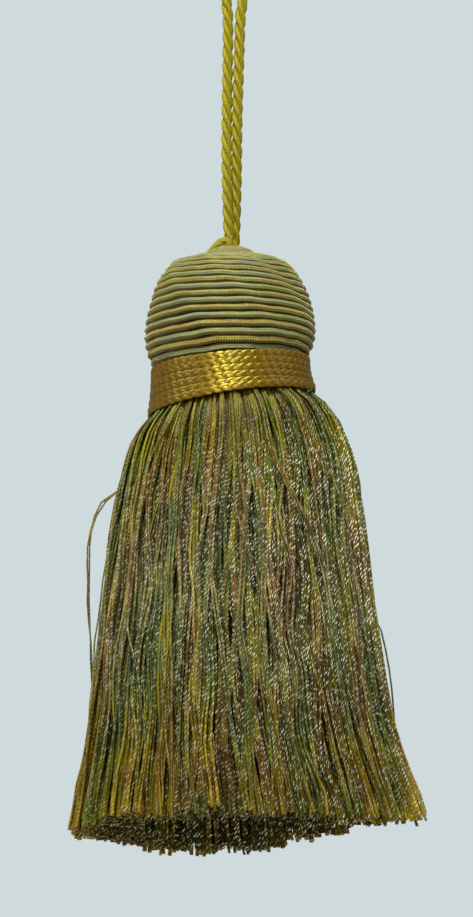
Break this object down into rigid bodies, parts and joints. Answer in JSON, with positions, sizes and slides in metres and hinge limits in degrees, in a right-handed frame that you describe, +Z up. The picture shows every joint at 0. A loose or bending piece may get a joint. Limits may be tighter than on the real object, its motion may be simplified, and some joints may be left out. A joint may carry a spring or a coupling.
{
  "type": "silk key tassel on a doubled hanging cord",
  "caption": "Silk key tassel hanging from a doubled twisted cord, with a gimp-wound round head, a plaited gold neck band and a flared skirt of cut threads.",
  "frame": {"origin": "inner top of the cord loop, where a hook or peg carries the tassel", "axes": "+Z up, the tassel hangs along -Z; the front looks along -Y; +X to the right seen from the front"},
  "size_m": [0.0906, 0.0607, 0.2313],
  "materials": {
    "cord_gold": "shiny twisted rayon cord",
    "gimp_sage_and_gold": "satin gimp, sage and gold turn about",
    "braid_gold": "lustrous plaited braid",
    "thread_olive": "space-dyed plied threads with a silk shine"
  },
  "bodies": {
    "root": {"hanging_cord": "cord_gold", "mould_winding": "gimp_sage_and_gold", "neck_band": "braid_gold", "skirt": "thread_olive"}
  },
  "joints": []
}
